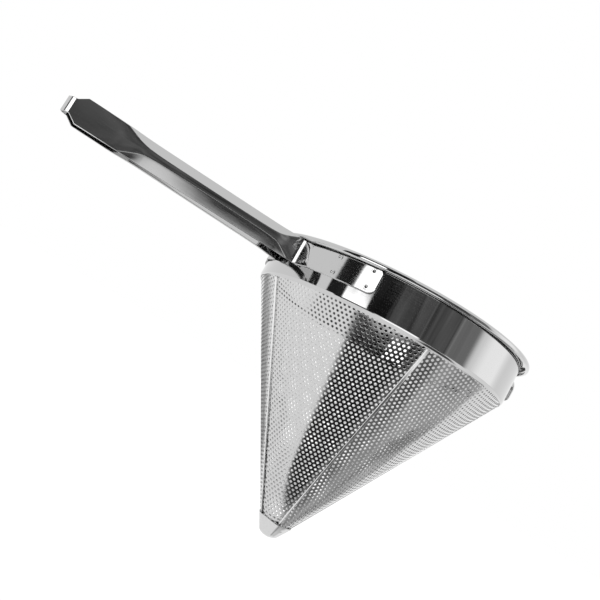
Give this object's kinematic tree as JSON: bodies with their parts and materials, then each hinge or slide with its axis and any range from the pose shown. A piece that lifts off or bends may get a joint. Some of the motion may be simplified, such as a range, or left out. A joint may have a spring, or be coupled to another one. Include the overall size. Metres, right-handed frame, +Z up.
{
  "type": "chinois strainer",
  "caption": "Conical chef's strainer: perforated steel cone with seam ribs and a tip cap under a spun collar, folded strip handle and a pot hook.",
  "frame": {"origin": "centre of the collar, level with the lower lip of the rolled rim, where a stand's ring carries the strainer", "axes": "+Z up along the cone's axis with the tip down, -X along the handle, +X towards the pot hook"},
  "size_m": [0.5083, 0.254, 0.2444],
  "materials": {
    "collar_steel": "mirror-polished stainless steel",
    "perforated_steel": "polished perforated stainless sheet",
    "rib_steel": "polished stainless bar",
    "cap_steel": "satin stainless pressing",
    "handle_steel": "mirror-polished stainless strip with fine wear scratches",
    "hook_steel": "polished stainless strip"
  },
  "bodies": {
    "root": {"collar": "collar_steel", "gore_1": "perforated_steel", "gore_2": "perforated_steel", "gore_3": "perforated_steel", "gore_4": "perforated_steel", "gore_5": "perforated_steel", "seam_rib_1": "rib_steel", "seam_rib_2": "rib_steel", "seam_rib_3": "rib_steel", "seam_rib_4": "rib_steel", "seam_rib_5": "rib_steel", "tip_cap": "cap_steel", "handle": "handle_steel", "pot_hook": "hook_steel"}
  },
  "joints": []
}
